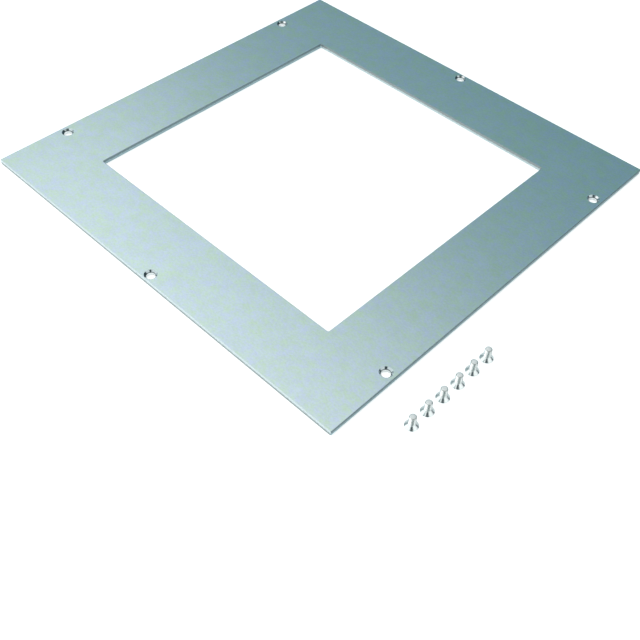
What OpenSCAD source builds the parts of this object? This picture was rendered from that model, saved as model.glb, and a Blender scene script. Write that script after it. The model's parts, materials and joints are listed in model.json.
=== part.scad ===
// Floor box cover: a square steel plate with a square opening for a floor service unit,
// and the six countersunk screws that fix it to the box below.
// Frame: origin at the middle of the plate's underside, +Z up, X and Y along its edges.

/* [Cover plate] */
// Length of each outer side of the square plate
plate_side = 356; // [300:1:500]
// Thickness of the steel sheet
plate_t = 4; // [3:0.5:6]
// Side of the square opening for the service unit
opening_side = 244; // [180:1:280]
// Radius of the plate's outer corners
outer_corner_r = 0.8; // [0.5:0.1:3]
// Radius that the cutting tool leaves in the corners of the opening
opening_corner_r = 1.2; // [0.6:0.1:6]
// Width of the broken edge round the outside and the opening, above and below
edge_break = 0.2; // [0.1:0.05:0.45]

/* [Screw holes] */
// Distance from the centre of each paired hole to its own edge of the plate
pair_inset = 7; // [6:0.5:12]
// Distance from the centre of each single hole to its own edge of the plate
single_inset = 5.5; // [5.3:0.1:12]
// Distance between the two holes along each of the two sides that have a pair
pair_pitch = 240; // [120:1:270]
// Diameter of the through holes
hole_d = 6.5; // [5.5:0.1:7]
// Diameter of the countersink at the top face
countersink_d = 9.4; // [8:0.1:10]
// Full angle of the countersinks and of the screw heads, in degrees
countersink_angle = 90; // [82:1:100]

/* [Fixing screws] */
// Number of screws in the row
screw_count = 6; // [1:1:8]
// Outer diameter of the screw thread
thread_d = 5; // [4:0.5:5]
// Overall length of a screw with its head
screw_l = 10; // [8:1:16]
// Diameter of the screw head
head_d = 9.4; // [8:0.1:9.5]
// Height of the straight rim round the head
head_rim_h = 0.4; // [0.2:0.05:0.6]
// Width of the chamfer at the tip of the thread
tip_chamfer = 0.6; // [0.3:0.1:0.8]
// Width across the wings of the cross recess at the head's face
recess_w = 4.9; // [3:0.1:5]
// Depth of the cross recess
recess_depth = 2.4; // [1:0.1:2.8]
// Thickness of each wing of the cross recess
recess_wing_t = 1.1; // [0.6:0.1:1.4]
// Distance from the plate's edge to the row of screws
screw_row_gap = 29.4; // [10:0.1:60]
// Distance between neighbouring screws in the row
screw_pitch = 15.1; // [10:0.1:20]
// Position of the middle of the row along the plate's edge
screw_row_y = -99.6; // [-120:0.1:120]

/* [Hidden] */
$fn = 96;
plate_colour = "LightSteelBlue";
screw_colour = "Gainsboro";
// How far a cutter reaches past the face that it cuts through
past = 1;
// Distances from the middle of the plate to the centres of the paired and the single holes
pair_reach = plate_side / 2 - pair_inset;
single_reach = plate_side / 2 - single_inset;
// Slope of the countersunk cones: depth for each unit of radius
cone_slope = 1 / tan(countersink_angle / 2);
screw_row_x = plate_side / 2 + screw_row_gap;
// Width across the wings at the recess floor
recess_floor_w = recess_w * 0.45;

// Centres of the six holes: a pair along each X side, one in the middle of each Y side
hole_centres = [
    for (sx = [-1, 1], sy = [-1, 1]) [sx * pair_reach, sy * pair_pitch / 2],
    for (sy = [-1, 1]) [0, sy * single_reach]
];

// A block whose flat sides lean out by `lean` from its low to its high face: it is `low`
// wide along X at z0 and runs `length` along Y
module leaning_block(low, length, z0, z1, lean) {
    half = low / 2;
    rotate([90, 0, 0])
        linear_extrude(height = length, center = true)
            polygon([[-half, z0], [half, z0], [half + lean, z1], [-half - lean, z1]]);
}

// A square slab with round corners, `side` wide at z0 and 2 * lean wider at z1
module square_slab(side, corner_r, z0, z1, lean) {
    middle = side - 2 * corner_r;
    leaning_block(side, middle, z0, z1, lean);
    rotate([0, 0, 90]) leaning_block(side, middle, z0, z1, lean);
    for (sx = [-1, 1], sy = [-1, 1])
        translate([sx * middle / 2, sy * middle / 2, z0])
            cylinder(h = z1 - z0, r1 = corner_r, r2 = corner_r + lean);
}

// The outline of the sheet with its broken edges: the faces are narrower than the waist
module sheet_blank() {
    face_side = plate_side - 2 * edge_break;
    face_r = outer_corner_r - edge_break;
    square_slab(face_side, face_r, 0, edge_break, edge_break);
    square_slab(plate_side, outer_corner_r, edge_break, plate_t - edge_break, 0);
    square_slab(plate_side, outer_corner_r, plate_t - edge_break, plate_t, -edge_break);
}

// What is cut out for the service unit, wider at both faces by the broken edge
module opening_cutter() {
    top_start = plate_t - edge_break;
    wide = opening_side + 2 * edge_break;
    square_slab(opening_side, opening_corner_r, -past, plate_t + past, 0);
    square_slab(opening_side, opening_corner_r, top_start, plate_t, edge_break);
    square_slab(wide, opening_corner_r + edge_break, 0, edge_break, -edge_break);
    square_slab(wide, opening_corner_r + edge_break, -past, 0, 0);
    square_slab(wide, opening_corner_r + edge_break, plate_t, plate_t + past, 0);
}

// One through hole with its countersink at the top face
module countersunk_hole() {
    cone_h = (countersink_d - hole_d) / 2 * cone_slope;
    translate([0, 0, -past]) cylinder(h = plate_t + 2 * past, d = hole_d);
    translate([0, 0, plate_t - cone_h]) cylinder(h = cone_h, d1 = hole_d, d2 = countersink_d);
    translate([0, 0, plate_t]) cylinder(h = past, d = countersink_d);
}

module cover_plate() {
    color(plate_colour)
        difference() {
            sheet_blank();
            opening_cutter();
            for (c = hole_centres)
                translate([c[0], c[1], 0]) countersunk_hole();
        }
}

// One wing of the cross recess, tapering from the head's face towards its floor
module recess_wing() {
    low = recess_w / 2;
    high = recess_floor_w / 2;
    rotate([90, 0, 0])
        linear_extrude(height = recess_wing_t, center = true)
            polygon([[-low, -past], [low, -past], [low, 0], [high, recess_depth], [-high, recess_depth],
                [-low, 0]]);
}

// A screw standing on its head, so its axis is Z and its head's face is at z = 0
module countersunk_screw() {
    cone_top = head_rim_h + (head_d - thread_d) / 2 * cone_slope;
    difference() {
        rotate_extrude()
            polygon([
                [0, 0],
                [head_d / 2, 0],
                [head_d / 2, head_rim_h],
                [thread_d / 2, cone_top],
                [thread_d / 2, screw_l - tip_chamfer],
                [thread_d / 2 - tip_chamfer, screw_l],
                [0, screw_l]
            ]);
        recess_wing();
        rotate([0, 0, 90]) recess_wing();
    }
}

module fixing_screws() {
    color(screw_colour)
        for (i = [0 : screw_count - 1])
            translate([screw_row_x, screw_row_y + (i - (screw_count - 1) / 2) * screw_pitch, 0])
                countersunk_screw();
}

cover_plate();
fixing_screws();
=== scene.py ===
# %% [markdown]
# # A floor box cover and its six screws
# The real object is a square of galvanised steel sheet with a square opening, drilled and
# countersunk at six places, and six countersunk machine screws that stand on their heads
# beside it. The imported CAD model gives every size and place. This script adds what a plain
# solid lacks: rolled-over edges, turned countersinks, real threads, and the finishes.

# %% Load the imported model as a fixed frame
import json
import math

import bpy
import numpy as np
from mathutils import Matrix, Vector, geometry


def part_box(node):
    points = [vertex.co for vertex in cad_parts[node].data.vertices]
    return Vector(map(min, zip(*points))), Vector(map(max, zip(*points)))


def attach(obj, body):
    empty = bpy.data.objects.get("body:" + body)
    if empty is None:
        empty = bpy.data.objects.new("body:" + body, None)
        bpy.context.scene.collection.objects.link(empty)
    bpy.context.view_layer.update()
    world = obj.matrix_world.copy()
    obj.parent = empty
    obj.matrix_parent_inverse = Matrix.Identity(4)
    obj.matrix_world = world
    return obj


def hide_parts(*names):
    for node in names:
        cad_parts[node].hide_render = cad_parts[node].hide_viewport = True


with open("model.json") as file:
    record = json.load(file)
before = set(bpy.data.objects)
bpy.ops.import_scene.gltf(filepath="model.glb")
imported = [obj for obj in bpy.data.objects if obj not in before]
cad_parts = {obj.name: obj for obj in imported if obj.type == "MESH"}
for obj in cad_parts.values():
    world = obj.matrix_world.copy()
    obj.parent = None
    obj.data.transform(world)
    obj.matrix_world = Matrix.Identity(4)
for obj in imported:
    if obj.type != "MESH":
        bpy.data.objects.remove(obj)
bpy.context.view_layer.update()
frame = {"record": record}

MM = 0.001

# %% [markdown]
# ## Sizes that the frame already holds
# A size that is written twice will differ one day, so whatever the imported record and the
# CAD nodes know is read from them: the sheet's box, the hole patterns and the opening are
# mounts of the record, and the row of screws has a box of its own.

# %% Read the driving sizes
PLATE_LOW, PLATE_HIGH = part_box("cover_plate")
SCREWS_LOW, SCREWS_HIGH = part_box("fixing_screws")
MOUNTS = {mount["name"]: mount for mount in frame["record"]["mounts"]}
PAIRS = MOUNTS["paired_edge_holes"]["dims"]
SINGLES = MOUNTS["middle_edge_holes"]["dims"]
HALF_SIDE = PLATE_HIGH.x
THICKNESS = PLATE_HIGH.z - PLATE_LOW.z
HALF_OPENING = MOUNTS["unit_opening"]["dims"]["spacing_x_mm"] * MM / 2
HOLE_RADIUS = PAIRS["hole_r_mm"] * MM
print("sheet", round(THICKNESS / MM, 2), "mm thick, opening", round(2 * HALF_OPENING / MM, 1), "mm")

# %% [markdown]
# ## Camera
# The photo looks down on the sheet from one corner. A camera could be placed by eye, but
# the sheet's outer and inner edges are straight lines with two clear vanishing points, and
# those fix where the camera stood and how long its lens was. The small roll is the tilt of
# the horizon in the photo.

# %% Camera
CAMERA_AT = Vector((0.3748, -0.4088, 0.4509))
CAMERA_AIM = Vector((0.1110, -0.1186, 0.0040))
CAMERA_ROLL = math.radians(2.64)
FOCAL_PIXELS = 893.7
PHOTO_PIXELS = 640
SENSOR_WIDTH = 36
camera_data = bpy.data.cameras.new("camera")
camera_data.sensor_width = SENSOR_WIDTH
camera_data.lens = FOCAL_PIXELS / PHOTO_PIXELS * SENSOR_WIDTH
camera_data.clip_start = 0.01
camera = bpy.data.objects.new("camera", camera_data)
bpy.context.scene.collection.objects.link(camera)
camera.location = CAMERA_AT
look = (CAMERA_AIM - CAMERA_AT).to_track_quat("-Z", "Y").to_matrix()
camera.rotation_euler = (look @ Matrix.Rotation(CAMERA_ROLL, 3, "Z")).to_euler()
bpy.context.scene.camera = camera
print("lens", round(camera_data.lens, 2), "mm")

# %% [markdown]
# ## Shapes worked out as arrays
# The sheet could be a cube with a Boolean for each hole and a Bevel over everything, but a
# bevel stumbles where a countersink nearly touches the sheet's edge. Every edge of such a
# part is a small profile carried along a path: round the outside, round the opening, or
# round a hole. So three helpers make nearly everything: one rounds the corners of a
# profile, one carries it along a path, and one fills the flat faces between the paths.
# Each point gets its exact normal, so the light runs smoothly from a flat face over its
# broken edge with no need for many faces.


# %% Rounded profiles
def rounded_profile(corners, radii, steps=5):
    """Points and unit normals of a polyline whose inner corners are rounded.

    At each corner the two tangent points lie radius * tan(turn / 2) away along the arms,
    and the arc between them is swept in equal angles. The normal is the direction of
    travel turned a quarter turn to the left."""
    corners = np.array(corners, float)
    points, normals = [], []
    arms = np.diff(corners, axis=0)
    arms = arms / np.linalg.norm(arms, axis=1, keepdims=True)
    left = np.stack([-arms[:, 1], arms[:, 0]], axis=1)
    points.append(corners[0])
    normals.append(left[0])
    for k in range(1, len(corners) - 1):
        turn = math.atan2(np.cross(arms[k - 1], arms[k]), arms[k - 1] @ arms[k])
        reach = radii[k - 1] * math.tan(abs(turn) / 2)
        side = math.copysign(1.0, turn)
        centre = corners[k] - arms[k - 1] * reach + left[k - 1] * radii[k - 1] * side
        for share in np.linspace(0, 1, steps + 1):
            angle = turn * share
            cos_a, sin_a = math.cos(angle), math.sin(angle)
            n = np.array([left[k - 1][0] * cos_a - left[k - 1][1] * sin_a,
                          left[k - 1][0] * sin_a + left[k - 1][1] * cos_a])
            points.append(centre - n * radii[k - 1] * side)
            normals.append(n)
    points.append(corners[-1])
    normals.append(left[-1])
    return np.array(points), np.array(normals)


right_angle = rounded_profile([(0, 0), (1, 0), (1, 1)], [0.2])[0]
print("a rounded right angle has", len(right_angle), "points")


# %% Closed paths
def circle_path(centre, radius, steps):
    """Points and outward normals of a circle, counted from +X towards +Y."""
    angle = np.linspace(0, 2 * math.pi, steps, endpoint=False)
    normal = np.stack([np.cos(angle), np.sin(angle)], axis=1)
    return np.array(centre) + radius * normal, normal


def rounded_square_path(half, corner, steps):
    """Points and outward normals of a square whose corners are quarter circles.

    Each corner's angle runs through its own quarter turn, and its centre lies one corner
    radius in from both sides. The straight sides need no points of their own."""
    quarter = np.linspace(0, math.pi / 2, steps + 1)
    angle = np.concatenate([quarter + k * math.pi / 2 for k in range(4)])
    normal = np.stack([np.cos(angle), np.sin(angle)], axis=1)
    middle = np.sign(np.repeat([[1, 1], [-1, 1], [-1, -1], [1, -1]], steps + 1, axis=0))
    return middle * (half - corner) + corner * normal, normal


print("a rounded square has", len(rounded_square_path(1.0, 0.2, 8)[0]), "points")


# %% A surface made of patches
class Shell:
    """Gathers the points, normals and faces of one closed surface."""

    def __init__(self):
        self.points = np.zeros((0, 3))
        self.normals = np.zeros((0, 3))
        self.faces = []
        self.finishes = []

    def add_points(self, points, normals):
        """Stores points with their normals, and returns their indices in the same layout."""
        first = len(self.points)
        self.points = np.vstack([self.points, points.reshape(-1, 3)])
        self.normals = np.vstack([self.normals, normals.reshape(-1, 3)])
        return np.arange(first, len(self.points)).reshape(points.shape[:-1])

    def add_grid(self, index, finish):
        """Joins a grid of indices into quads. The first axis closes on itself. The faces
        are turned so that they agree with the normals of their points."""
        around = np.roll(index, -1, axis=0)
        quads = np.stack([index[:, :-1], around[:, :-1], around[:, 1:], index[:, 1:]], axis=-1)
        quads = quads.reshape(-1, 4)
        p = self.points[quads]
        facing = np.cross(p[:, 2] - p[:, 0], p[:, 3] - p[:, 1])
        if np.sum(facing * self.normals[quads].mean(axis=1)) < 0:
            quads = quads[:, ::-1]
        self.faces += quads.tolist()
        self.finishes += [finish] * len(quads)

    def add_fan(self, ring, apex, facing, finish):
        """Closes a ring of indices, counted from +X towards +Y, with triangles that meet in
        one new point. Facing is 1 for up and -1 for down."""
        tip = self.add_points(np.array([apex]), np.array([[0.0, 0.0, facing]]))
        pair = (ring, np.roll(ring, -1))[::facing]
        self.faces += np.stack([*pair, np.repeat(tip, len(ring))], axis=1).tolist()
        self.finishes += [finish] * len(ring)

    def add_carried(self, profile, path, finish):
        """Carries a profile along a path: a profile point (depth, height) sits that deep
        behind the path, against its normal, and that high. Returns the grid of indices."""
        (shape, slope), (track, outward) = profile, path
        flat = track[:, None, :] - outward[:, None, :] * shape[None, :, :1]
        height = np.broadcast_to(shape[None, :, 1:], flat[..., :1].shape)
        lean = -outward[:, None, :] * slope[None, :, :1]
        rise = np.broadcast_to(slope[None, :, 1:], lean[..., :1].shape)
        index = self.add_points(np.concatenate([flat, height], axis=2),
                                np.concatenate([lean, rise], axis=2))
        self.add_grid(index, finish)
        return index

    def add_flat(self, loops, facing, finish):
        """Fills the flat region between closed loops of indices with triangles.

        The loops are the fixed edges of a Delaunay triangulation. A triangle is metal where
        a ray from its middle towards +X crosses the loops an odd number of times."""
        ring = np.concatenate(loops)
        following = np.concatenate([np.roll(loop, -1) for loop in loops])
        flat = self.points[ring, :2] / MM
        place = np.zeros(len(self.points), int)
        place[ring] = np.arange(len(ring))
        edges = np.stack([place[ring], place[following]], axis=1).tolist()
        made = geometry.delaunay_2d_cdt([Vector(p) for p in flat.tolist()], edges, [], 0, 1e-6)
        source = np.array([origin[0] for origin in made[3]])
        tris = ring[source[np.array(made[2])]]
        middle = self.points[tris, :2].mean(axis=1)[:, None, :]
        low, high = self.points[ring, :2][None], self.points[following, :2][None]
        spans = (low[..., 1] > middle[..., 1]) != (high[..., 1] > middle[..., 1])
        rise = np.where(spans, high[..., 1] - low[..., 1], 1.0)
        crossing = low[..., 0] + (middle[..., 1] - low[..., 1]) * (high - low)[..., 0] / rise
        tris = tris[(spans & (crossing > middle[..., 0])).sum(axis=1) % 2 == 1]
        p = self.points[tris]
        if np.sum(np.cross(p[:, 1] - p[:, 0], p[:, 2] - p[:, 0])[:, 2]) * facing < 0:
            tris = tris[:, ::-1]
        self.faces += tris.tolist()
        self.finishes += [finish] * len(tris)


# %% From a shell to a Blender object
def make_piece(name, shell, materials):
    """Builds a smooth mesh that keeps the exact normals, in the part's own frame."""
    mesh = bpy.data.meshes.new(name)
    mesh.from_pydata(shell.points.tolist(), [], shell.faces)
    mesh.polygons.foreach_set("material_index", np.array(shell.finishes, np.int32))
    mesh.polygons.foreach_set("use_smooth", np.ones(len(mesh.polygons), bool))
    for material in materials:
        mesh.materials.append(material)
    mesh.validate()
    mesh.update()
    mesh.normals_split_custom_set_from_vertices(shell.normals.tolist())
    piece = bpy.data.objects.new(name, mesh)
    bpy.context.scene.collection.objects.link(piece)
    return piece


# %% [markdown]
# ## The shape of the cover plate
# The real sheet was cut square, its opening was cut out, and its holes were drilled and
# countersunk from above. Outside and opening share one edge profile: a small round at both
# faces and a straight wall between. A hole's profile goes from the underside up the
# drilled wall, round the neck, up the 90 degree cone and over the rim to the top face.

# %% Sizes of the edges and the holes
OUTER_CORNER = 0.8 * MM
OPENING_CORNER = 1.2 * MM
TOP_ROUND = 0.25 * MM
BOTTOM_ROUND = 0.2 * MM
COUNTERSINK_RADIUS = 4.7 * MM
RIM_ROUND = 0.08 * MM
NECK_ROUND = 0.15 * MM
COUNTERSINK_DEPTH = COUNTERSINK_RADIUS - HOLE_RADIUS
NECK_HEIGHT = THICKNESS - COUNTERSINK_DEPTH
BAR_MIDDLE = (HALF_SIDE + HALF_OPENING) / 2
HOLE_STEPS = 96
CORNER_STEPS = 8
print("countersinks", round(COUNTERSINK_DEPTH / MM, 2), "mm deep")

# %% Centres of the six holes
PAIR_X = PAIRS["spacing_x_mm"] * MM / 2
PAIR_Y = PAIRS["spacing_y_mm"] * MM / 2
SINGLE_Y = SINGLES["spacing_y_mm"] * MM / 2
HOLE_CENTRES = [(sx * PAIR_X, sy * PAIR_Y) for sx in (-1, 1) for sy in (-1, 1)]
HOLE_CENTRES += [(0.0, sy * SINGLE_Y) for sy in (-1, 1)]
print(len(HOLE_CENTRES), "holes")

# %% Edge profiles
FACE, EDGE, TURNED = 0, 1, 2
wall_profile = rounded_profile(
    [(2 * BOTTOM_ROUND, 0), (0, 0), (0, THICKNESS), (1.2 * TOP_ROUND, THICKNESS)],
    [BOTTOM_ROUND, TOP_ROUND], 8)
hole_profile = rounded_profile(
    [(2 * RIM_ROUND, 0), (0, 0), (0, NECK_HEIGHT),
     (COUNTERSINK_DEPTH, THICKNESS), (COUNTERSINK_DEPTH + 2 * RIM_ROUND, THICKNESS)],
    [RIM_ROUND, NECK_ROUND, RIM_ROUND], 4)
print("edge profile", len(wall_profile[0]), "points, hole profile", len(hole_profile[0]), "points")


# %% The surface of the plate
def cover_plate_shell():
    """The closed surface of the sheet, patch by patch."""
    shell = Shell()
    outer = rounded_square_path(HALF_SIDE, OUTER_CORNER, CORNER_STEPS)
    track, outward = rounded_square_path(HALF_OPENING, OPENING_CORNER, CORNER_STEPS)
    grids = [shell.add_carried(wall_profile, outer, EDGE),
             shell.add_carried(wall_profile, (track, -outward), EDGE)]
    for centre in HOLE_CENTRES:
        ring, away = circle_path(centre, HOLE_RADIUS, HOLE_STEPS)
        grids.append(shell.add_carried(hole_profile, (ring, -away), TURNED))
    for column, facing in ((0, -1), (-1, 1)):
        loops = [grid[:, column] for grid in grids]
        shell.add_flat(loops, facing, FACE)
    return shell


plate_shell = cover_plate_shell()
print("plate:", len(plate_shell.points), "points,", len(plate_shell.faces), "faces")

# %% [markdown]
# ## Building materials from nodes
# Node trees can be wired by hand in the editor. In a script a short helper keeps them
# readable: it adds a node, sets its values by name and joins its inputs. All patterns read
# Object coordinates, which here are metres in the part's own frame. So they need no
# unwrapping, and noise is asked for in cells for each millimetre.


# %% Node helpers
class Tree:
    """The nodes of a material or of the world, and short words for wiring them."""

    def __init__(self, owner, coordinates):
        self.owner = owner
        owner.use_nodes = True
        self.nodes = owner.node_tree.nodes
        self.links = owner.node_tree.links
        self.where = self.add("TexCoord").outputs[coordinates]

    def join(self, value, socket):
        """Links another node's output to a socket, or sets the socket to a plain value."""
        if isinstance(value, bpy.types.NodeSocket):
            self.links.new(value, socket)
        else:
            socket.default_value = value

    def add(self, kind, inputs=(), **settings):
        """Adds a node. Inputs are pairs of a socket and a value or another node's output."""
        node = self.nodes.new("ShaderNode" + kind)
        for key, value in settings.items():
            setattr(node, key, value)
        for socket, value in dict(inputs).items():
            self.join(value, node.inputs[socket])
        return node

    def place(self):
        """The coordinates one by one, as outputs named X, Y and Z."""
        return self.add("SeparateXYZ", {"Vector": self.where}).outputs

    def noise(self, cells_per_mm, detail=2.0, roughness=0.5):
        """Smooth noise from 0 to 1, with so many cells for each millimetre of X, Y and Z."""
        scale = tuple(cells / MM for cells in cells_per_mm)
        scaled = self.add("Mapping", {"Vector": self.where, "Scale": scale}).outputs["Vector"]
        inputs = {"Vector": scaled, "Scale": 1.0, "Detail": detail, "Roughness": roughness}
        return self.add("TexNoise", inputs).outputs["Fac"]

    def remap(self, value, low, high, to_low=0.0, to_high=1.0, **settings):
        """Stretches low..high to to_low..to_high, and holds the ends."""
        inputs = {"Value": value, "From Min": low, "From Max": high,
                  "To Min": to_low, "To Max": to_high}
        return self.add("MapRange", inputs, **settings).outputs["Result"]

    def math(self, operation, a, b=0.0):
        """One operation on one or two values, such as ADD or ABSOLUTE."""
        return self.add("Math", {0: a, 1: b}, operation=operation).outputs["Value"]

    def blend(self, share, low, high, blend_type="MIX"):
        """A colour from low to high. Each end is a colour or another node's output."""
        ends = [end if isinstance(end, bpy.types.NodeSocket) else (*end, 1) for end in (low, high)]
        inputs = {"Factor": share, 6: ends[0], 7: ends[1]}
        return self.add("Mix", inputs, data_type="RGBA", blend_type=blend_type).outputs[2]

    def product(self, a, b):
        """Two colours multiplied with each other."""
        return self.blend(1.0, a, b, "MULTIPLY")

    def bump(self, height, distance):
        """Bump whose full height is distance, in metres."""
        inputs = {"Height": height, "Distance": distance, "Strength": 1.0}
        return self.add("Bump", inputs).outputs["Normal"]

    def feed(self, **inputs):
        """Joins outputs or values to the surface shader. Underscores stand for spaces."""
        shader = self.nodes["Principled BSDF"]
        for key, value in inputs.items():
            self.join(value, shader.inputs[key.replace("_", " ")])


def material_tree(name):
    """A new material whose patterns read the part's own frame."""
    return Tree(bpy.data.materials.new(name), "Object")


# %% [markdown]
# ## Galvanised sheet
# Galvanised sheet that was rolled smooth after its zinc bath has very fine lines along the
# rolling direction, here X. A bump alone would only flicker, since they are far finer than
# a pixel. So they are mostly made as what the eye sees: a reflection that is blurred
# across them, which is an anisotropic gloss. The passivated zinc also plays between
# yellowish green and blue in patches of a few millimetres, with finer ones inside them,
# and it is very slightly lighter and darker from speck to speck.

# %% Galvanised sheet material
WHITE = (1.0, 1.0, 1.0)
GREENISH_ZINC = (0.594, 0.730, 0.596)
BLUISH_ZINC = (0.612, 0.690, 0.818)
SPECKS = ((0.91, 0.91, 0.91), (1.01, 1.01, 1.01))


def galvanised_sheet():
    """Rolled, passivated zinc: fine lines along X, green to blue patches, faint specks.

    How light a place is, is the sum of a cloud, a streak and, most of all, a speck."""
    tree = material_tree("galvanised_sheet")
    lines = tree.noise((0.04, 3.0, 3.0), 3.0, 0.6)
    streak = tree.noise((0.02, 0.45, 0.45), 2.0, 0.55)
    cloud = tree.noise((0.12, 0.12, 0.12))
    speck = tree.noise((0.6, 0.8, 0.7), 3.0, 0.8)
    hue = tree.noise((0.12, 0.15, 0.14), 4.0, 0.9)
    tone = tree.blend(tree.remap(hue, 0.37, 0.63), GREENISH_ZINC, BLUISH_ZINC)
    patches = tree.math("ADD", cloud, tree.remap(streak, 0.0, 1.0, -0.15, 0.15))
    patches = tree.math("ADD", patches, tree.remap(speck, 0.0, 1.0, -1.6, 1.6))
    lighter = tree.blend(tree.remap(patches, 0.0, 1.0), *SPECKS)
    grain = tree.add("Tangent", direction_type="UV_MAP", uv_map="across_grain")
    tree.feed(Metallic=1.0, Base_Color=tree.product(tone, lighter),
              Roughness=tree.remap(lines, 0.3, 0.7, 0.31, 0.35), Anisotropic=0.55,
              Tangent=grain.outputs["Tangent"], Normal=tree.bump(lines, 0.0015 * MM))
    return tree.owner


sheet_finish = galvanised_sheet()
print(sheet_finish.name, "has", len(sheet_finish.node_tree.nodes), "nodes")

# %% [markdown]
# ## Cut edges and countersinks
# A blade leaves two zones on the side of a sheet: a smooth one that it rubbed, and a dull
# one where the metal tore. Here the rubbed zone is at the top of the two outer Y sides and
# at the bottom of all the others, so the darker torn band is also painted shade: a painted
# contact shadow at the foot of the outer Y sides, and painted shade along the top of the
# others. The zones could be faces of their own, but their border wanders, so one material
# works them out from the height. The photo shows the X sides darker than the Y sides; that
# darkening is painted shade.
#
# Each countersink is a turned cone with fine rings, which mirrors the room quite sharply.
# A dark line of painted shade marks the neck where it meets the drilled hole, and the drilled
# wall below is painted light: it is made brighter than the cone. Rings and line follow the
# height too, so no hole needs a map of its own.

# %% Cut edge
TORN_STEEL_AND_SHADE = ((0.30, 0.35, 0.36), (0.37, 0.42, 0.43))
RUBBED_STEEL = ((0.58, 0.67, 0.69), (0.65, 0.74, 0.76))
X_SIDE_PAINTED_SHADE = (0.63, 0.74, 0.78)


def cut_edge():
    """Bare cut steel with a rubbed and a torn zone, and marks that run across the sheet.

    The share of the rubbed zone is |above + on an outer Y side - 1|: both are 0 or 1, so it
    is 1 above the split on the two outer Y sides, and below the split on the others. The
    darker torn band is partly painted shade: a painted contact shadow at the foot of the
    outer Y sides, and painted shade along the top of the others. The X sides are darkened
    further by painted shade."""
    tree = material_tree("cut_edge")
    at = tree.place()
    tears = tree.noise((2.2, 2.2, 0.25), 3.0, 0.6)
    split = tree.remap(tree.noise((0.6, 0.6, 0.01)), 0.3, 0.7, 1.6 * MM, 2.4 * MM)
    above = tree.remap(tree.math("SUBTRACT", at["Z"], split), -0.3 * MM, 0.3 * MM)
    reach_x, reach_y = tree.math("ABSOLUTE", at["X"]), tree.math("ABSOLUTE", at["Y"])
    y_side = tree.math("GREATER_THAN", reach_y, reach_x)
    outside = tree.math("GREATER_THAN", tree.math("MAXIMUM", reach_x, reach_y), BAR_MIDDLE)
    outer_y_side = tree.math("MULTIPLY", y_side, outside)
    both = tree.math("ADD", above, outer_y_side)
    # The torn side of this share is also painted shade: a painted contact shadow at the foot of the
    # outer Y sides, and painted shade along the top of the others.
    rubbed = tree.math("ABSOLUTE", tree.math("SUBTRACT", both, 1.0))
    clean = tree.blend(rubbed, tree.blend(tears, *TORN_STEEL_AND_SHADE), tree.blend(tears, *RUBBED_STEEL))
    # Painted shade: the X sides are darkened.
    x_sides_painted_shade = tree.blend(y_side, X_SIDE_PAINTED_SHADE, WHITE)
    tree.feed(Metallic=1.0, Base_Color=tree.product(clean, x_sides_painted_shade),
              Roughness=tree.remap(rubbed, 0.0, 1.0, 0.45, 0.24),
              Normal=tree.bump(tears, 0.01 * MM))
    return tree.owner


edge_finish = cut_edge()
print(edge_finish.name, "has", len(edge_finish.node_tree.nodes), "nodes")

# %% Turned metal
TURNED_CONE = ((0.46, 0.53, 0.56), (0.53, 0.60, 0.63))
# The neck line is painted shade, and the drilled wall is painted light.
NECK_PAINTED_SHADE = (0.14, 0.17, 0.18)
DRILLED_WALL_PAINTED_LIGHT = (0.88, 0.92, 0.93)


def turned_metal():
    """A turned cone with fine rings, a neck line of painted shade, and a drilled wall painted
    light.
    """
    tree = material_tree("turned_metal")
    rings = tree.noise((0.3, 0.3, 9.0))
    above = tree.math("SUBTRACT", tree.place()["Z"], NECK_HEIGHT)
    on_cone = tree.remap(above, -0.1 * MM, 0.1 * MM)
    # Painted light: the drilled wall is made much brighter than the cone.
    bright = tree.blend(on_cone, DRILLED_WALL_PAINTED_LIGHT, tree.blend(rings, *TURNED_CONE))
    # Painted shade: a dark line round the neck.
    off_shade_line = tree.remap(tree.math("ABSOLUTE", above), 0.2 * MM, 0.4 * MM)
    tree.feed(Metallic=1.0, Base_Color=tree.blend(off_shade_line, NECK_PAINTED_SHADE, bright),
              Roughness=tree.remap(rings, 0.3, 0.7, 0.12, 0.18),
              Normal=tree.bump(rings, 0.006 * MM))
    return tree.owner


turned_finish = turned_metal()
print(turned_finish.name, "has", len(turned_finish.node_tree.nodes), "nodes")

# %% [markdown]
# ## The cover plate, put together
# The shape and its three finishes become one object, because the real plate is one piece
# of sheet. The gloss has to know which way the grain runs. A Tangent node can work out a
# direction round an axis by itself, but this grain is straight, so a small UV map tells
# it: the map's first axis runs across the grain.

# %% Build the plate
cover_plate = make_piece("cover_plate_sheet", plate_shell,
                         [sheet_finish, edge_finish, turned_finish])
print(cover_plate.name, "has", len(cover_plate.data.polygons), "faces in",
      len(cover_plate.data.materials), "finishes")

# %% A map whose first axis runs across the grain
grain_map = cover_plate.data.uv_layers.new(name="across_grain")
corner_points = np.zeros(len(cover_plate.data.loops), np.int32)
cover_plate.data.loops.foreach_get("vertex_index", corner_points)
x, y, z = plate_shell.points[corner_points].T
across_and_along = np.stack([y + z, x], axis=1)
grain_map.data.foreach_set("uv", across_and_along.astype(np.float32).ravel())
print("grain map on", len(corner_points), "corners")

# %% The plate rides on the frame
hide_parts("cover_plate")
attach(cover_plate, "root")
print(cover_plate.name, "takes the place of the node cover_plate")

# %% [markdown]
# ## The fixing screws
# Each screw is a countersunk M5 machine screw, 10 mm long, standing on its head. A Screw
# modifier could wind the thread, but the winding would still have to be joined to the head
# and the tip. So all but the head's face is one function of angle and row: rounds and cone
# first, then the thread, whose radius depends on how far a point is along the helix, and
# last the chamfered tip with its low crown. The thread then runs out by itself.

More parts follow.
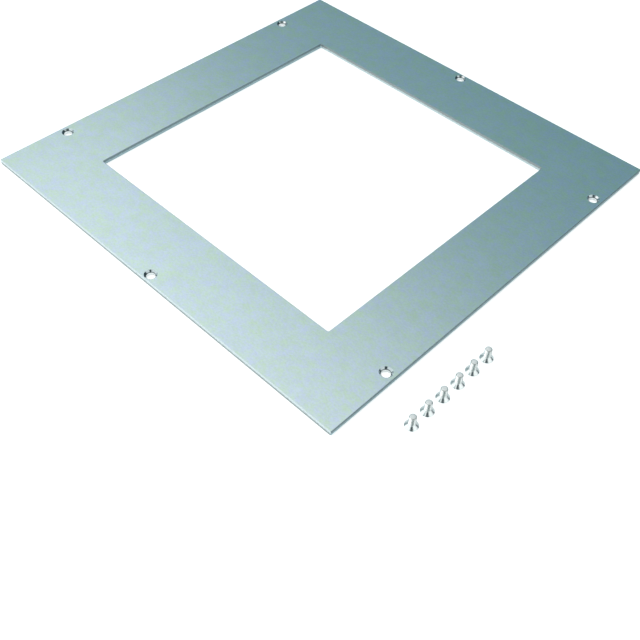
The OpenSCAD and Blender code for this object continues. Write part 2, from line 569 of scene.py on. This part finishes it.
# %% Sizes of a screw
HEAD_RADIUS = (SCREWS_HIGH.x - SCREWS_LOW.x) / 2
SCREW_LENGTH = SCREWS_HIGH.z
SCREW_COUNT = 6
THREAD_RADIUS = 2.47 * MM
THREAD_PITCH = 0.8 * MM
THREAD_DEPTH = 0.43 * MM
CREST_HALF = 1 / 16
ROOT_START = 3 / 8
HEAD_RIM = 0.4 * MM
HEAD_ROUND = 0.12 * MM
UNDER_HEAD_ROUND = 0.4 * MM
TIP_CHAMFER = 0.6 * MM
TIP_CROWN = 0.22 * MM
ANGLE_STEPS = 64
ROWS_PER_PITCH = 16
print("screw", round(SCREW_LENGTH / MM, 1), "mm long, head", round(2 * HEAD_RADIUS / MM, 1), "mm")


# %% Thread
def thread_radius(angle, height):
    """Radius of a right-hand thread with flat crests.

    The phase is the height in pitches less the angle in turns. Its distance from the
    crest's middle runs down a 60 degree flank between a flat crest of an eighth of a pitch
    and a root of a quarter. CREST_HALF and ROOT_START are where the flank begins and ends,
    in pitches. The depth grows over the first turn above the head."""
    phase = np.mod(height / THREAD_PITCH - angle / (2 * math.pi), 1.0)
    from_crest = np.abs(phase - 0.5)
    flank = np.clip((ROOT_START - from_crest) / (ROOT_START - CREST_HALF), 0, 1)
    start = HEAD_RIM + HEAD_RADIUS - THREAD_RADIUS
    depth = THREAD_DEPTH * np.clip((height - start) / THREAD_PITCH, 0, 1)
    return THREAD_RADIUS - depth * (1 - flank)


print("thread radius runs from", round((THREAD_RADIUS - THREAD_DEPTH) / MM, 2),
      "to", round(THREAD_RADIUS / MM, 2), "mm")


# %% Rows of the screw's outside
def screw_rows():
    """Radius and height of every row and angle, from the head's face to the tip.

    The thread is cut off by an envelope that falls one to one over the tip chamfer. The
    crown falls from the axis with the square of the share of the end's radius."""
    angle = np.linspace(0, 2 * math.pi, ANGLE_STEPS, endpoint=False)[:, None]
    cone_top = HEAD_RIM + HEAD_RADIUS - THREAD_RADIUS
    head, _ = rounded_profile(
        [(HEAD_RADIUS - 2 * HEAD_ROUND, 0), (HEAD_RADIUS, 0), (HEAD_RADIUS, HEAD_RIM),
         (THREAD_RADIUS, cone_top), (THREAD_RADIUS, cone_top + 2 * UNDER_HEAD_ROUND)],
        [HEAD_ROUND, HEAD_ROUND, UNDER_HEAD_ROUND], 4)
    head = head[:-1]
    shoulder = SCREW_LENGTH - TIP_CROWN
    count = round((shoulder - head[-1, 1]) / THREAD_PITCH * ROWS_PER_PITCH)
    height = np.linspace(head[-1, 1], shoulder, count + 1)[None, 1:]
    envelope = THREAD_RADIUS - np.clip(height - (shoulder - TIP_CHAMFER), 0, None)
    shank = np.minimum(thread_radius(angle, height), envelope)
    share = np.linspace(1, 0, 9)[None, 1:-1]
    end_radius = shank[:, -1:] * share
    end_height = SCREW_LENGTH - TIP_CROWN * share ** 2
    ones = np.ones_like(angle)
    radius = np.concatenate([ones * head[:, 0], shank, end_radius], axis=1)
    rise = np.concatenate([ones * head[:, 1], ones * height, ones * end_height], axis=1)
    return angle, radius, rise


print("a screw has", screw_rows()[1].shape, "angles and rows")


# %% One screw at its own place
ZINC = 0


def grid_normals(points):
    """Unit normals of a closed grid: the cross product of its two central differences."""
    around = np.roll(points, -1, axis=0) - np.roll(points, 1, axis=0)
    along = np.gradient(points, axis=1)
    normal = np.cross(around, along)
    return normal / np.maximum(np.linalg.norm(normal, axis=2, keepdims=True), 1e-12)


def add_screw(shell, centre, spin):
    """Adds one screw, turned about its own axis by spin."""
    angle, radius, rise = screw_rows()
    x = centre[0] + radius * np.cos(angle + spin)
    y = centre[1] + radius * np.sin(angle + spin)
    points = np.stack([x, y, rise], axis=2)
    normals = grid_normals(points)
    middle = np.array([*centre, 0])
    if np.sum(normals[:, 0] * (points[:, 0] - middle)) < 0:
        normals = -normals
    index = shell.add_points(points, normals)
    shell.add_grid(index, ZINC)
    shell.add_fan(index[:, -1], (*centre, SCREW_LENGTH), 1, ZINC)
    return index


# %% Outline of the cross recess
RECESS_HALF_WIDTH = 2.45 * MM
RECESS_HALF_WING = 0.55 * MM
RECESS_DEPTH = 2.4 * MM
RECESS_TAPER = 0.5
WING_TAPER = 0.35


def cross_outline(half_width, half_wing, steps=4):
    """Outline of a cross: two bars at right angles, whose inner corners are rounded.

    One arm, whose end is a little narrower, and one hollow corner make a quarter, and
    four turned quarters make the cross."""
    corner = half_wing * 0.5
    bend = np.linspace(0, math.pi / 2, steps)
    hollow = np.stack([half_wing + corner - corner * np.sin(bend),
                       half_wing + corner - corner * np.cos(bend)], axis=1)
    arm = np.array([[half_width, 0.0], [half_width, half_wing * 0.7],
                    [half_width * 0.97, half_wing]])
    quarter = np.concatenate([arm, hollow, arm[::-1][:-1, ::-1]])
    turns = [np.array([[c, s], [-s, c]]) for c, s in ((1, 0), (0, 1), (-1, 0), (0, -1))]
    return np.concatenate([quarter @ turn for turn in turns])


print("the cross has", len(cross_outline(RECESS_HALF_WIDTH, RECESS_HALF_WING)), "points")


# %% The cross recess in the head's face
def add_recess(shell, centre, spin, head_loop):
    """Sinks a tapering cross into the head's face and closes the face round it.

    Each ring of the recess is the cross outline, narrower and higher than the last."""
    turn = np.array([[math.cos(spin), math.sin(spin)], [-math.sin(spin), math.cos(spin)]])
    rings = []
    for share in np.linspace(0, 1, 5):
        outline = cross_outline(RECESS_HALF_WIDTH * (1 - RECESS_TAPER * share),
                                RECESS_HALF_WING * (1 - WING_TAPER * share))
        flat = outline @ turn + np.array(centre)
        rings.append(np.column_stack([flat, np.full(len(flat), share * RECESS_DEPTH)]))
    points = np.stack(rings, axis=1)
    normals = grid_normals(points)
    middle = np.array([*centre, 0])
    if np.sum(normals * (points - middle) * [1, 1, 0]) > 0:
        normals = -normals
    index = shell.add_points(points, normals)
    shell.add_grid(index, ZINC)
    shell.add_fan(index[:, -1], (*centre, RECESS_DEPTH), -1, ZINC)
    shell.add_flat([head_loop, index[:, 0]], -1, ZINC)


# %% [markdown]
# ## Bright zinc plating
# The screws are plated, not dipped: their zinc is thin, bright and smooth, with a slight
# frost. One even roughness would look painted on, so it varies a little. The end was cut
# from wire: it is matt, its chamfer is dull, and its crown has a pale bloom. All three are
# worked out from the height, so the screws need no second material.

# %% Zinc plating material
PLATED_ZINC = ((0.78, 0.83, 0.83), (0.88, 0.91, 0.92))
DULL_CHAMFER = (0.70, 0.70, 0.69)


def zinc_plating():
    """Bright electroplated zinc with a fine frost and a matt, pale cut end."""
    tree = material_tree("zinc_plating")
    frost = tree.noise((5.0, 5.0, 5.0))
    plated = tree.blend(tree.noise((0.6, 0.6, 0.6)), *PLATED_ZINC)
    level = tree.place()["Z"]
    chamfer_middle = SCREW_LENGTH - TIP_CROWN - TIP_CHAMFER / 2
    from_chamfer = tree.math("ABSOLUTE", tree.math("SUBTRACT", level, chamfer_middle))
    dull = tree.blend(tree.remap(from_chamfer, 0.2 * MM, 0.3 * MM), DULL_CHAMFER, WHITE)
    cut_end = tree.remap(level, SCREW_LENGTH - 1.0 * MM, SCREW_LENGTH - 0.6 * MM, 0.0, 0.4)
    rough = tree.math("ADD", tree.remap(frost, 0.3, 0.7, 0.16, 0.24), cut_end)
    shine = tree.remap(level, SCREW_LENGTH - 0.9 * TIP_CROWN, SCREW_LENGTH - 0.5 * TIP_CROWN,
                       1.0, 0.15)
    tree.feed(Metallic=shine, Base_Color=tree.product(plated, dull), Roughness=rough,
              Normal=tree.bump(frost, 0.004 * MM))
    return tree.owner


plated_finish = zinc_plating()
print(plated_finish.name, "has", len(plated_finish.node_tree.nodes), "nodes")

# %% Build the row of screws
row_x = (SCREWS_LOW.x + SCREWS_HIGH.x) / 2
row_y = np.linspace(SCREWS_LOW.y + HEAD_RADIUS, SCREWS_HIGH.y - HEAD_RADIUS, SCREW_COUNT)
GOLDEN_ANGLE = math.radians(137.5)
screws_shell = Shell()
for number, y in enumerate(row_y):
    spin = number * GOLDEN_ANGLE
    grid = add_screw(screws_shell, (row_x, y), spin)
    add_recess(screws_shell, (row_x, y), spin, grid[:, 0])
screws = make_piece("fixing_screws_zinc", screws_shell, [plated_finish])
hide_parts("fixing_screws")
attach(screws, "root")
print("screws:", len(screws_shell.points), "points,", len(screws_shell.faces), "faces")

# %% [markdown]
# ## Floor
# The photo's background is plain white. A floor that is lit until it turns white needs so
# much light that the metal burns out. So this one is a pale matt plane that glows for rays
# from the camera, and it is a little bluish to balance the warm ceiling light. Metal sees
# a weaker glow: most in front of the plate, less under and beside it, and least round the
# screws. Seen from below the floor is clear, so the underside of the sheet can be seen.
# The weaker glow that metal sees is painted light and shade on the floor: painted light in front of
# the plate, a little less under and beside it, and painted shade round the screws.

# %% Floor
FLOOR_HALF = 6.0
FLOOR_DROP = 0.05 * MM
FLOOR_COLOUR = (0.76, 0.82, 0.83)
CAMERA_GLOW = 0.65
# Glow that metal sees: painted light in front and by the plate, painted shade round the screws.
FRONT_PAINTED_LIGHT, PLATE_PAINTED_LIGHT, SCREW_PAINTED_SHADE = 0.5, 0.35, 0.17
FRONT_FADE_Y = (-0.177, -0.150)
PLATE_FADE_X = (0.184, 0.190)
floor_mesh = bpy.data.meshes.new("floor")
floor_corners = [(sx * FLOOR_HALF, sy * FLOOR_HALF, -FLOOR_DROP)
                 for sx, sy in ((-1, -1), (1, -1), (1, 1), (-1, 1))]
floor_mesh.from_pydata(floor_corners, [], [(0, 1, 2, 3)])
floor = bpy.data.objects.new("floor", floor_mesh)
bpy.context.scene.collection.objects.link(floor)


# %% Floor material
def floor_white():
    """Pale matt floor that looks white to the camera and is clear from below."""
    tree = material_tree("floor_white")
    path = tree.add("LightPath").outputs
    at = tree.place()
    # Painted light and shade for metal: strongest in front, less by the plate, least round the
    # screws.
    front_painted_light = tree.remap(at["Y"], *FRONT_FADE_Y, FRONT_PAINTED_LIGHT, SCREW_PAINTED_SHADE)
    plate_painted_light = tree.remap(at["X"], *PLATE_FADE_X, PLATE_PAINTED_LIGHT, SCREW_PAINTED_SHADE)
    painted_light_for_metal = tree.math("MAXIMUM", front_painted_light, plate_painted_light)
    painted_light_in_metal = tree.math("MULTIPLY", path["Is Glossy Ray"], painted_light_for_metal)
    glow = tree.math("ADD", tree.math("MULTIPLY", path["Is Camera Ray"], CAMERA_GLOW), painted_light_in_metal)
    tree.feed(Base_Color=(*FLOOR_COLOUR, 1), Roughness=0.9, Specular_IOR_Level=0.0,
              Emission_Color=(*WHITE, 1), Emission_Strength=glow)
    from_below = tree.add("NewGeometry").outputs["Backfacing"]
    matt = tree.nodes["Principled BSDF"].outputs["BSDF"]
    clear = tree.add("BsdfTransparent").outputs["BSDF"]
    either = tree.add("MixShader", {"Fac": from_below, 1: matt, 2: clear}).outputs["Shader"]
    tree.join(either, tree.nodes["Material Output"].inputs["Surface"])
    return tree.owner


floor_mesh.materials.append(floor_white())
print("floor", 2 * FLOOR_HALF, "m wide")

# %% [markdown]
# ## Light
# In a flat mirror, every place on the sheet shows its own place on the ceiling. The photo's
# sheet grows darker along Y and hardly changes along X, so the ceiling light is a soft
# panel whose far edge runs nearly along X. Small lamps would show as hard spots in the
# metal, so the side lights are panels too. They light the screws' cones and the
# countersinks left and right of the camera, and the dim gap between them makes the dark
# wedge on each cone.


# %% Soft panels
def panel(name, centre, target, width, height, radiance, turn=0.0):
    """An area lamp. Its power is radiance * pi * area, which makes it look that bright."""
    lamp = bpy.data.lights.new(name, "AREA")
    lamp.shape = "RECTANGLE"
    lamp.size, lamp.size_y = width, height
    lamp.energy = radiance * math.pi * width * height
    holder = bpy.data.objects.new(name, lamp)
    holder.location = centre
    toward = Vector(target) - Vector(centre)
    aimed = toward.to_track_quat("-Z", "Y").to_matrix()
    holder.rotation_euler = (aimed @ Matrix.Rotation(math.radians(turn), 3, "Z")).to_euler()
    holder.visible_camera = False
    bpy.context.scene.collection.objects.link(holder)
    return holder


CEILING_COLOUR = (1.0, 0.896, 0.877)
ceiling = panel("ceiling_panel", (-2.0, -0.32, 2.6), (-2.0, -0.32, 0), 4.4, 4.1, 1.14, turn=-8)
ceiling.data.color = CEILING_COLOUR
panel("side_panel_left", (-0.10, -0.82, 0.53), (0.16, -0.10, 0.53), 1.55, 1.00, 0.90)
panel("side_panel_right", (2.17, 0.32, 1.60), (0.2, -0.1, 1.60), 2.9, 2.6, 0.82)
print("three panels")

# %% [markdown]
# ## The room
# Metal shows what stands round it, so the room has the tones that the photo's metal shows:
# a blue-green wall behind the sheet, pale low walls, a dark low corner with a dark opening
# above it at the back right, and a dark patch round the camera. A picture of a real room
# could be wrapped round the scene, but soft tones can be set one by one. A lamp does not
# hide the wall behind it here, so metal sees both, added up. The camera itself sees plain
# white.

# %% Colours and directions of the room
LOW_WALL = (0.48, 0.54, 0.54)
DARK_CORNER = (0.10, 0.15, 0.16)
HIGH_WALL = (0.26, 0.31, 0.29)
BACK_WALL = (0.115, 0.300, 0.360)
CAMERA_PATCH = (0.07, 0.10, 0.105)
DARK_OPENING = (0.06, 0.09, 0.10)
TO_CORNER = Vector((0.174, 0.985, 0.0))
TO_BACK = Vector((-0.643, 0.766, 0.0))
TO_OPENING = Vector((0.40, 0.85, 0.34)).normalized()
TO_CAMERA = Vector((CAMERA_AT.x, CAMERA_AT.y, 0.8 * CAMERA_AT.z)).normalized()
UP = Vector((0.0, 0.0, 1.0))
PATCH_RIM = math.cos(math.radians(30))
PATCH_CORE = math.cos(math.radians(16))

# %% The room
room = Tree(bpy.data.worlds.new("room"), "Generated")
bpy.context.scene.world = room.owner


def along(way):
    """How far each direction points along one way: the cosine of the angle between them."""
    return room.add("VectorMath", {0: room.where, 1: way}, operation="DOT_PRODUCT").outputs["Value"]


low_wall = room.blend(room.remap(along(TO_CORNER), 0.3, 0.8), LOW_WALL, DARK_CORNER)
high_wall = room.blend(room.remap(along(TO_BACK), 0.25, 0.55), HIGH_WALL, BACK_WALL)
wall = room.blend(room.remap(along(UP), 0.10, 0.42), low_wall, high_wall)
wall = room.blend(room.remap(along(TO_OPENING), 0.80, 0.93), wall, DARK_OPENING)
near_camera = room.remap(along(TO_CAMERA), PATCH_RIM, PATCH_CORE, interpolation_type="SMOOTHSTEP")
walls = room.nodes["Background"]
room.join(room.blend(near_camera, wall, CAMERA_PATCH), walls.inputs["Color"])
plain = room.add("Background", {"Color": (*WHITE, 1)})
for_camera = room.add("LightPath").outputs["Is Camera Ray"]
seen = room.add("MixShader", {"Fac": for_camera, 1: walls.outputs["Background"],
                              2: plain.outputs["Background"]})
room.join(seen.outputs["Shader"], room.nodes["World Output"].inputs["Surface"])
bpy.context.scene.view_settings.view_transform = "Standard"
print("room with", len(room.nodes), "nodes")
